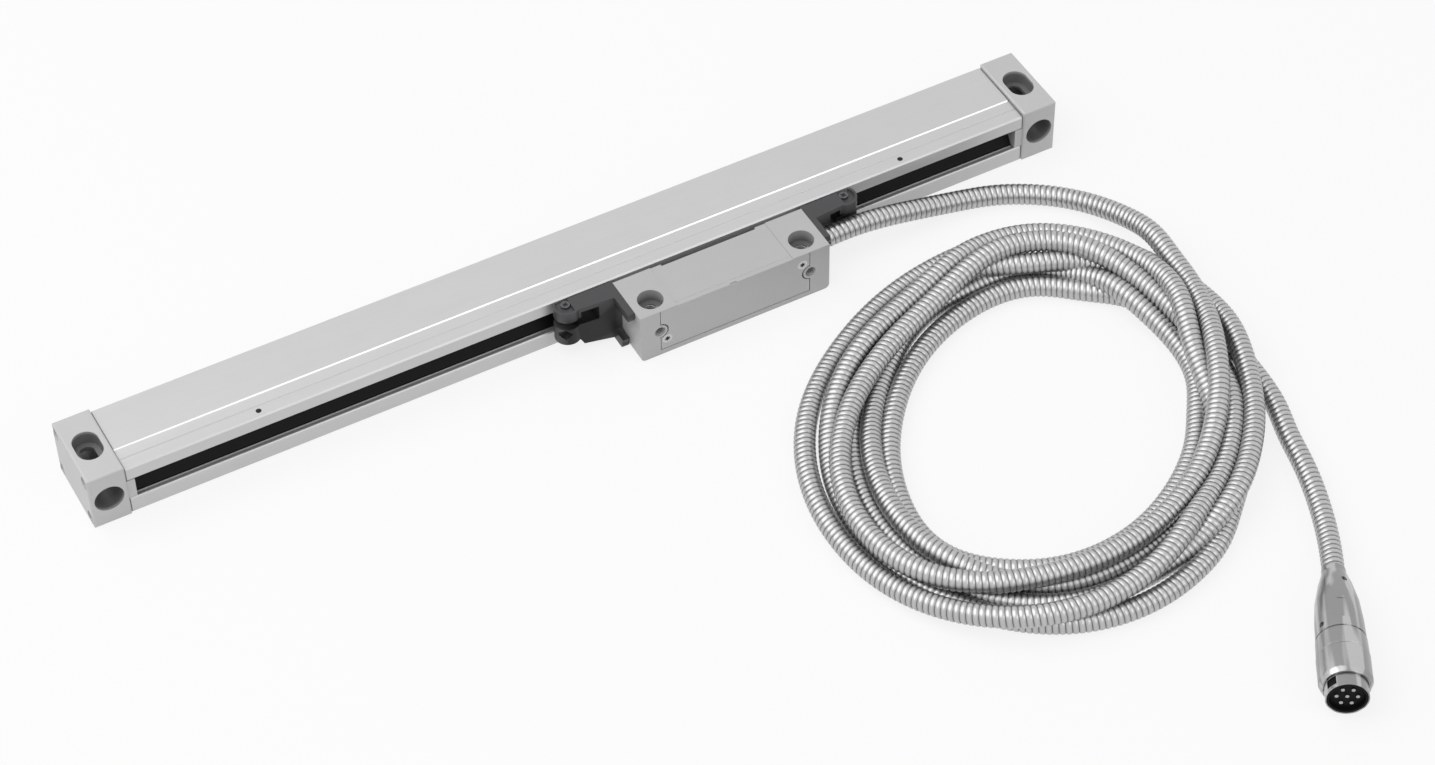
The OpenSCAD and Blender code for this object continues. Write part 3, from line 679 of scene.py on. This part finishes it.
def hose_tree():
    """A tube wound from one strip along a curve: every row of corners runs round it like a thread."""
    tree, inside, out = shape_tree("Wound hose", [
        ("Radius", "NodeSocketFloat", 4 * MM), ("Pitch", "NodeSocketFloat", 2.45 * MM),
        ("Groove", "NodeSocketFloat", 0.4 * MM), ("Sides", "NodeSocketInt", 15),
        ("Material", "NodeSocketMaterial", None)])
    maths = tree.maths
    edges = len(STRIP_EDGES)
    whole = tree.add("GeometryNodeCurveLength", links={0: inside["Geometry"]}).outputs[0]
    turns = maths("FLOOR", maths("DIVIDE", whole, inside["Pitch"]), 0.0)
    rows = maths("MULTIPLY", maths("SUBTRACT", turns, 1.0), float(edges))
    columns = maths("ADD", inside["Sides"], 1.0)
    grid = tree.add("GeometryNodeMeshGrid", links={"Vertices X": rows, "Vertices Y": columns})
    index = tree.add("GeometryNodeInputIndex").outputs[0]
    row = maths("FLOOR", maths("DIVIDE", maths("ADD", index, 0.5), columns), 0.0)
    column = maths("ROUND", maths("SUBTRACT", index, maths("MULTIPLY", row, columns)), 0.0)
    turn = maths("FLOOR", maths("DIVIDE", maths("ADD", row, 0.5), float(edges)), 0.0)
    edge = maths("ROUND", maths("SUBTRACT", row, maths("MULTIPLY", turn, float(edges))), 0.0)
    picks = []
    for part in (0, 1):
        pick = tree.add("GeometryNodeIndexSwitch", data_type="FLOAT")
        while len(pick.index_switch_items) < edges:
            pick.index_switch_items.new()
        for k, strip in enumerate(STRIP_EDGES):
            pick.inputs[k + 1].default_value = strip[part]
        tree.tree.links.new(edge, pick.inputs["Index"])
        picks.append(pick.outputs[0])
    share = maths("DIVIDE", column, inside["Sides"])
    place = maths("MULTIPLY", maths("ADD", maths("ADD", turn, picks[0]), share), inside["Pitch"])
    sample = tree.add("GeometryNodeSampleCurve", links={"Curves": inside["Geometry"], "Length": place},
                      mode="LENGTH", use_all_curves=False)
    across = sample.outputs["Normal"]
    up = tree.add("ShaderNodeVectorMath", links={0: sample.outputs["Tangent"], 1: across},
                  operation="CROSS_PRODUCT").outputs[0]
    reach = maths("SUBTRACT", inside["Radius"], maths("MULTIPLY", picks[1], inside["Groove"]))
    angle = maths("MULTIPLY", share, 2 * math.pi)
    spot = sample.outputs["Position"]
    for direction, amount in ((across, maths("COSINE", angle, 0.0)), (up, maths("SINE", angle, 0.0))):
        step = tree.add("ShaderNodeVectorMath", links={0: direction, "Scale": maths("MULTIPLY", amount, reach)},
                        operation="SCALE")
        spot = tree.add("ShaderNodeVectorMath", links={0: spot, 1: step.outputs[0]}, operation="ADD").outputs[0]
    wound = tree.add("GeometryNodeSetPosition", links={"Geometry": grid.outputs["Mesh"], "Position": spot})
    # Painted shade: the strip's dip is stored so that its colour darkens in the grooves
    marked = tree.add("GeometryNodeStoreNamedAttribute", {"Name": "groove"},
                      {"Geometry": wound.outputs[0], "Value": picks[1]}, data_type="FLOAT", domain="POINT")
    joined = tree.add("GeometryNodeMergeByDistance", {"Distance": 0.01 * MM}, {"Geometry": marked.outputs[0]})
    finish_tree(tree, joined.outputs[0], inside["Material"], out)
    return tree.tree


def curve_through(name, points):
    data = bpy.data.curves.new(name, "CURVE")
    data.dimensions = "3D"
    data.twist_mode = "MINIMUM"
    line = data.splines.new("POLY")
    line.points.add(len(points) - 1)
    for point, place in zip(line.points, points):
        point.co = (*place, 1)
    made = bpy.data.objects.new(name, data)
    bpy.context.scene.collection.objects.link(made)
    return made


def build_cable():
    size = sizes()
    route = cable_route()
    inner_end = route[-1] + np.array(PLUG_AXIS) * HIDDEN_PITCHES * size.hose_pitch
    line = curve_through("cable_route", [tuple(p) for p in (*route, inner_end)])
    node_modifier(line, hose_tree(), Radius=size.hose_diameter / 2, Pitch=size.hose_pitch,
                  Groove=size.hose_groove, Sides=HOSE_SIDES, Material=hose_finish())
    hose = settle_piece("cable_hose", evaluated_mesh(line, "cable_hose"), hose_finish(), HEAD)
    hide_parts("cable_lead", "cable_coil", "cable_tail")
    return hose


# ---- Marks, recesses and threads ----

def mark_tree():
    """A filled star on every point: many short points make a round mark, four a cross, laid as painted shade
    over holes and recesses.
    """
    name = "Marks"
    if name in bpy.data.node_groups:
        return bpy.data.node_groups[name]
    tree, inside, out = shape_tree(name, [
        ("Points", "NodeSocketInt", 4), ("Inner", "NodeSocketFloat", 0.3 * MM),
        ("Outer", "NodeSocketFloat", 1 * MM), ("Turn", "NodeSocketRotation", None),
        ("Material", "NodeSocketMaterial", None)])
    star = tree.add("GeometryNodeCurveStar", links={"Points": inside["Points"], "Inner Radius": inside["Inner"],
                                                    "Outer Radius": inside["Outer"]})
    filled = tree.add("GeometryNodeFillCurve", links={0: star.outputs["Curve"]})
    placed = tree.add("GeometryNodeInstanceOnPoints", links={
        "Points": inside["Geometry"], "Instance": filled.outputs[0], "Rotation": inside["Turn"]})
    finish_tree(tree, placed.outputs[0], inside["Material"], out)
    return tree.tree


def thread_tree():
    """A screw thread down the wall of a hole below every point."""
    name = "Threads"
    if name in bpy.data.node_groups:
        return bpy.data.node_groups[name]
    tree, inside, out = shape_tree(name, [
        ("Radius", "NodeSocketFloat", 2.6 * MM), ("Pitch", "NodeSocketFloat", 0.9 * MM),
        ("Turns", "NodeSocketFloat", 4.0), ("Turn", "NodeSocketRotation", None),
        ("Material", "NodeSocketMaterial", None)])
    drop = tree.maths("MULTIPLY", tree.maths("MULTIPLY", inside["Turns"], inside["Pitch"]), -1.0)
    spiral = tree.add("GeometryNodeCurveSpiral", {"Resolution": 28}, {
        "Rotations": inside["Turns"], "Start Radius": inside["Radius"], "End Radius": inside["Radius"],
        "Height": drop})
    ridge = tree.add("GeometryNodeCurvePrimitiveCircle", {"Resolution": 6}, mode="RADIUS")
    tree.tree.links.new(tree.maths("MULTIPLY", inside["Pitch"], 0.3), ridge.inputs["Radius"])
    swept = tree.add("GeometryNodeCurveToMesh", {"Fill Caps": True}, {
        "Curve": spiral.outputs[0], "Profile Curve": ridge.outputs["Curve"]})
    placed = tree.add("GeometryNodeInstanceOnPoints", links={
        "Points": inside["Geometry"], "Instance": swept.outputs[0], "Rotation": inside["Turn"]})
    finish_tree(tree, placed.outputs[0], inside["Material"], out)
    return tree.tree


def on_points(name, tree, places, material, body, slot, **values):
    """Runs a tree on points in the row frame, as a piece that rides on a body."""
    data = bpy.data.meshes.new(name)
    data.from_pydata([tuple(place) for place in places], [], [])
    carrier = bpy.data.objects.new(name + "_points", data)
    bpy.context.scene.collection.objects.link(carrier)
    node_modifier(carrier, tree, Material=material, **values)
    return settle_piece(name, evaluated_mesh(carrier, name), material, body, smooth=False)


def screw_recess(node, name, radius, body, slot):
    """Painted shade: a dark cross on top of one upright screw, over its cross recess."""
    low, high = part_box(node)
    middle = (low + high) / 2
    on_points(name, mark_tree(), [(middle.x, middle.y, high.z + PROUD)], recess_shade_finish(), body, slot,
              Points=4, Inner=CROSS_WAIST * radius, Outer=radius, Turn=UPWARD)


def build_index_marks():
    size = sizes().index_mark
    # Painted shade: a dark disc over each of the two index marks on the extrusion
    places = [(side * INDEX_OUT, PROFILE_LOW.y + INDEX_BACK, PROFILE_HIGH.z - STRIP_DROP + PROUD)
              for side in (-1, 1)]
    on_points("index_marks", mark_tree(), places, recess_shade_finish(), HOUSING, "profile_aluminium",
              Points=16, Inner=size * 0.98, Outer=size, Turn=UPWARD)


def build_step_highlight():
    """A painted highlight: a bright strip on the face of the step that runs along the extrusion's top."""
    low, high = PROFILE_LOW, PROFILE_HIGH
    lift = PROUD * math.sqrt(0.5)
    front, back = low.y + STEP_FOOT - lift, low.y + STEP_FOOT + STRIP_DROP - lift
    foot, top = high.z - STRIP_DROP + lift, high.z + lift
    data = bpy.data.meshes.new("bright_step")
    data.from_pydata([(low.x, front, foot), (high.x, front, foot), (high.x, back, top), (low.x, back, top)], [],
                     [(0, 1, 2, 3)])
    settle_piece("bright_step", data, step_highlight_finish(), HOUSING, smooth=False)


def build_head_details():
    pitch = sizes().thread_pitch
    middle = (HEAD_LOW.x + HEAD_HIGH.x) / 2
    holes = [middle + side * HOLE_PITCH / 2 for side in (-1, 1)]
    upright = [(x, HEAD_LOW.y + HOLE_IN, HEAD_HIGH.z - BORE_DEPTH) for x in holes]
    on_points("upright_threads", thread_tree(), upright, head_finish(), HEAD, "head_aluminium",
              Radius=HOLE_RADIUS, Pitch=pitch, Turns=UPRIGHT_TURNS, Turn=UPWARD)
    front = [(x, HEAD_LOW.y + 0.5 * pitch, FRONT_HOLE_HEIGHT) for x in holes]
    on_points("front_threads", thread_tree(), front, head_finish(), HEAD, "head_aluminium",
              Radius=FRONT_HOLE_RADIUS, Pitch=pitch * 0.8, Turns=FRONT_TURNS, Turn=FORWARD)
    # Painted shade: a dark cross over the recess of each cover screw
    low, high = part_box("head_cover_screws")
    r = COVER_SCREW_RADIUS
    screws = [(low.x + r, low.y - PROUD, low.z + r), (high.x - r, low.y - PROUD, high.z - r)]
    on_points("cover_screw_recesses", mark_tree(), screws, recess_shade_finish(), HEAD, "screw_steel",
              Points=4, Inner=CROSS_WAIST * r, Outer=0.7 * r, Turn=FORWARD)


# ---- Pieces ----

def build_plug():
    for part in PLUG_SHELLS:
        body = "coupling_ring" if part == "coupling_ring" else HEAD
        bevelled("plug_" + part, "turned_" + part, plug_finish(), body, sizes().edge_round * 0.6)
    repaint(insulator_finish(), "plug_insulator")
    repaint(pin_finish(), "plug_pins")
    repaint(dark_steel_finish(), "plug_set_screws")


def build_housing():
    bevelled("housing_profile", "housing", profile_finish(), HOUSING,
             sizes().edge_round * 0.5, angle=50, axes=(1, 2))
    for side in ("left", "right"):
        low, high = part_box("end_block_" + side)
        cuts = ((low + Vector((0, BLOCK_SHADE_AT, 0)), (0, 1, 0)),
                (high - Vector((0, 0, BLOCK_SHADE_AT)), (0, 0, 1)))
        bevelled("end_block_" + side, "block_" + side, blasted_finish(), HOUSING,
                 sizes().edge_round, shade_depth=1 * MM, cuts=cuts)
    repaint(gasket_finish(), "end_gasket_left", "end_gasket_right")
    repaint(rubber_finish(), "sealing_lip_upper", "sealing_lip_lower")
    repaint(steel_finish(), "end_block_screws_left", "end_block_screws_right")
    repaint(glass_finish(), "glass_scale")
    repaint(rubber_finish(), "glass_clamp_strip")
    build_index_marks()
    build_step_highlight()


def build_head():
    head = bevelled("head_body", "head", head_finish(), HEAD, sizes().edge_round * 0.6,
                    shade_depth=1 * MM)
    middle = (HEAD_LOW.x + HEAD_HIGH.x) / 2
    # Painted shade: the notch in the head's back edge is darkened fully
    mark_box(head.data, (middle - NOTCH_HALF, HEAD_HIGH.y - NOTCH_BACK, HEAD_HIGH.z - NOTCH_FLOOR),
             (middle + NOTCH_HALF, HEAD_HIGH.y, HEAD_HIGH.z - NOTCH_TOP))
    bevelled("head_cover", "head_lid", head_finish(), HEAD, sizes().edge_round * 0.5)
    build_head_details()
    repaint(rubber_finish(), "head_gasket")
    repaint(dark_steel_finish(), "drive_blade")
    repaint(steel_finish(), "head_cover_screws", "coupling_spring", "roller_pins", "cable_gland",
            "face_roller_left", "face_roller_right", "edge_roller_left", "edge_roller_right")
    repaint(board_finish(), "amplifier_board", "light_source_board", "photosensor_board")
    repaint(glass_finish(), "condenser_lens", "scanning_reticle")
    repaint(carriage_finish(), "carriage_frame")


def build_guides():
    for side in ("left", "right"):
        bevelled("lip_guide_" + side, "guide_" + side, guide_finish(), HEAD,
                 sizes().edge_round * 1.3)
        screw_recess("guide_screw_" + side, "guide_recess_" + side, GUIDE_RECESS_RADIUS, HEAD,
                     "dark_screw_steel")
    repaint(dark_steel_finish(), "guide_screw_left", "guide_screw_right")


# ---- Stage ----

CAMERA_PLACE = Vector((-0.40572, -0.86406, 0.98869))
CAMERA_AHEAD = Vector((0.3193, 0.6027, -0.7313))
CAMERA_UP = Vector((0.3574, 0.6381, 0.6820))
CAMERA_LENS = 94.91
FLOOR_REACH = 6.0
FLOOR_GLOW = 0.82
KEY_PLACE = Vector((-0.75, 0.35, 1.3))
KEY_SIZE = 2.0
EDGE_PLACE = Vector((0.5, -1.1, 0.9))
EDGE_SIZE = 0.9


def make_camera():
    back = -CAMERA_AHEAD.normalized()
    right = CAMERA_UP.cross(back).normalized()
    up = back.cross(right)
    data = bpy.data.cameras.new("Studio camera")
    data.sensor_width = 36
    data.lens = CAMERA_LENS
    data.clip_start, data.clip_end = 0.05, 20
    made = bpy.data.objects.new("Studio camera", data)
    made.matrix_world = Matrix.Translation(CAMERA_PLACE) @ Matrix((right, up, back)).transposed().to_4x4()
    bpy.context.scene.collection.objects.link(made)
    bpy.context.scene.camera = made


def area_lamp(name, place, target, size, power):
    data = bpy.data.lights.new(name, "AREA")
    data.shape = "DISK"
    data.size = size
    data.energy = power
    made = bpy.data.objects.new(name, data)
    place = Vector(place)
    turn = (Vector(target) - place).to_track_quat("-Z", "Y")
    made.matrix_world = Matrix.Translation(place) @ turn.to_matrix().to_4x4()
    bpy.context.scene.collection.objects.link(made)


def seen_directly(tree):
    """One for rays from the camera, and for what shiny and clear surfaces show."""
    path = tree.add("ShaderNodeLightPath")
    shiny = tree.maths("MAXIMUM", path.outputs["Is Camera Ray"], path.outputs["Is Glossy Ray"])
    return tree.maths("MAXIMUM", shiny, path.outputs["Is Transmission Ray"])


def build_stage():
    studio = bpy.context.scene.studio_settings
    middle = (CAD_BOX[0] + CAD_BOX[1]) / 2
    reach = FLOOR_REACH
    data = bpy.data.meshes.new("studio_floor")
    data.from_pydata([(-reach, -reach, 0), (reach, -reach, 0), (reach, reach, 0), (-reach, reach, 0)], [],
                     [(0, 1, 2, 3)])
    floor = bpy.data.objects.new("studio_floor", data)
    bpy.context.scene.collection.objects.link(floor)
    paint = bpy.data.materials.new("Studio floor")
    paint.use_nodes = True
    tree = Tree(paint.node_tree)
    out = paint.node_tree.nodes["Material Output"]
    paint.node_tree.nodes.remove(paint.node_tree.nodes["Principled BSDF"])
    matt = tree.add("ShaderNodeBsdfDiffuse", {"Color": (*studio.floor_colour, 1)})
    glow = tree.add("ShaderNodeEmission", {"Color": (1, 1, 1, 1), "Strength": 1.0})
    share = tree.maths("MULTIPLY", seen_directly(tree), FLOOR_GLOW)
    mix = tree.add("ShaderNodeMixShader", {}, {0: share, 1: matt.outputs[0], 2: glow.outputs[0]})
    paint.node_tree.links.new(mix.outputs[0], out.inputs["Surface"])
    data.materials.append(paint)
    world = bpy.data.worlds.new("Studio")
    world.use_nodes = True
    bpy.context.scene.world = world
    tree = Tree(world.node_tree)
    seen = seen_directly(tree)
    strength = tree.maths("ADD", tree.maths("MULTIPLY", seen, 1 - studio.room_light), studio.room_light)
    background = world.node_tree.nodes["Background"]
    background.inputs["Color"].default_value = (1, 1, 1, 1)
    world.node_tree.links.new(strength, background.inputs["Strength"])
    area_lamp("Key", middle + KEY_PLACE, middle, KEY_SIZE, studio.key_power)
    area_lamp("Edge", middle + EDGE_PLACE, middle, EDGE_SIZE, studio.edge_power)
    bpy.context.scene.view_settings.view_transform = "Standard"


# ---- Operators ----

class SCALE_OT_camera(bpy.types.Operator):
    """Sets up the studio camera"""
    bl_idname = "glass_scale.camera"
    bl_label = "Camera"

    def execute(self, context):
        make_camera()
        return {"FINISHED"}


class SCALE_OT_cable(bpy.types.Operator):
    """Winds the steel cable from the head through its coil to the plug"""
    bl_idname = "glass_scale.cable"
    bl_label = "Cable"

    def execute(self, context):
        build_cable()
        return {"FINISHED"}


class SCALE_OT_plug(bpy.types.Operator):
    """Finishes the plug on the cable's end"""
    bl_idname = "glass_scale.plug"
    bl_label = "Plug"

    def execute(self, context):
        build_plug()
        return {"FINISHED"}


class SCALE_OT_housing(bpy.types.Operator):
    """Finishes the extruded housing, its end blocks, lips and glass"""
    bl_idname = "glass_scale.housing"
    bl_label = "Housing"

    def execute(self, context):
        build_housing()
        return {"FINISHED"}


class SCALE_OT_head(bpy.types.Operator):
    """Finishes the reading head and what it carries inside the housing"""
    bl_idname = "glass_scale.head"
    bl_label = "Reading head"

    def execute(self, context):
        build_head()
        return {"FINISHED"}


class SCALE_OT_guides(bpy.types.Operator):
    """Finishes the lip guides at both ends of the head"""
    bl_idname = "glass_scale.guides"
    bl_label = "Lip guides"

    def execute(self, context):
        build_guides()
        return {"FINISHED"}


class SCALE_OT_stage(bpy.types.Operator):
    """Adds the floor, the lamps and the surrounding light"""
    bl_idname = "glass_scale.stage"
    bl_label = "Stage"

    def execute(self, context):
        build_stage()
        return {"FINISHED"}


OPERATORS = (SCALE_OT_camera, SCALE_OT_plug, SCALE_OT_cable, SCALE_OT_housing, SCALE_OT_head, SCALE_OT_guides,
             SCALE_OT_stage)


class SCALE_PT_panel(bpy.types.Panel):
    """Settings and pieces of the glass scale"""
    bl_idname = "SCALE_PT_panel"
    bl_label = "Glass scale"
    bl_space_type = "VIEW_3D"
    bl_region_type = "UI"
    bl_category = "Glass scale"

    def draw(self, context):
        for group in (context.scene.scale_sizes, context.scene.scale_colours, context.scene.studio_settings):
            box = self.layout.box()
            for key in group.__annotations__:
                box.prop(group, key)
        for operator in OPERATORS:
            self.layout.operator(operator.bl_idname)


GROUPS = (("scale_sizes", ScaleSizes), ("scale_colours", ScaleColours), ("studio_settings", StudioSettings))


def register():
    for name, group in GROUPS:
        bpy.utils.register_class(group)
        setattr(bpy.types.Scene, name, bpy.props.PointerProperty(type=group))
    for item in (*OPERATORS, SCALE_PT_panel):
        bpy.utils.register_class(item)


def unregister():
    for item in (SCALE_PT_panel, *reversed(OPERATORS)):
        bpy.utils.unregister_class(item)
    for name, group in reversed(GROUPS):
        delattr(bpy.types.Scene, name)
        bpy.utils.unregister_class(group)


def main():
    register()
    for operator in OPERATORS:
        name = operator.bl_idname.split(".")[1]
        getattr(bpy.ops.glass_scale, name)()


if __name__ == "__main__":
    main()
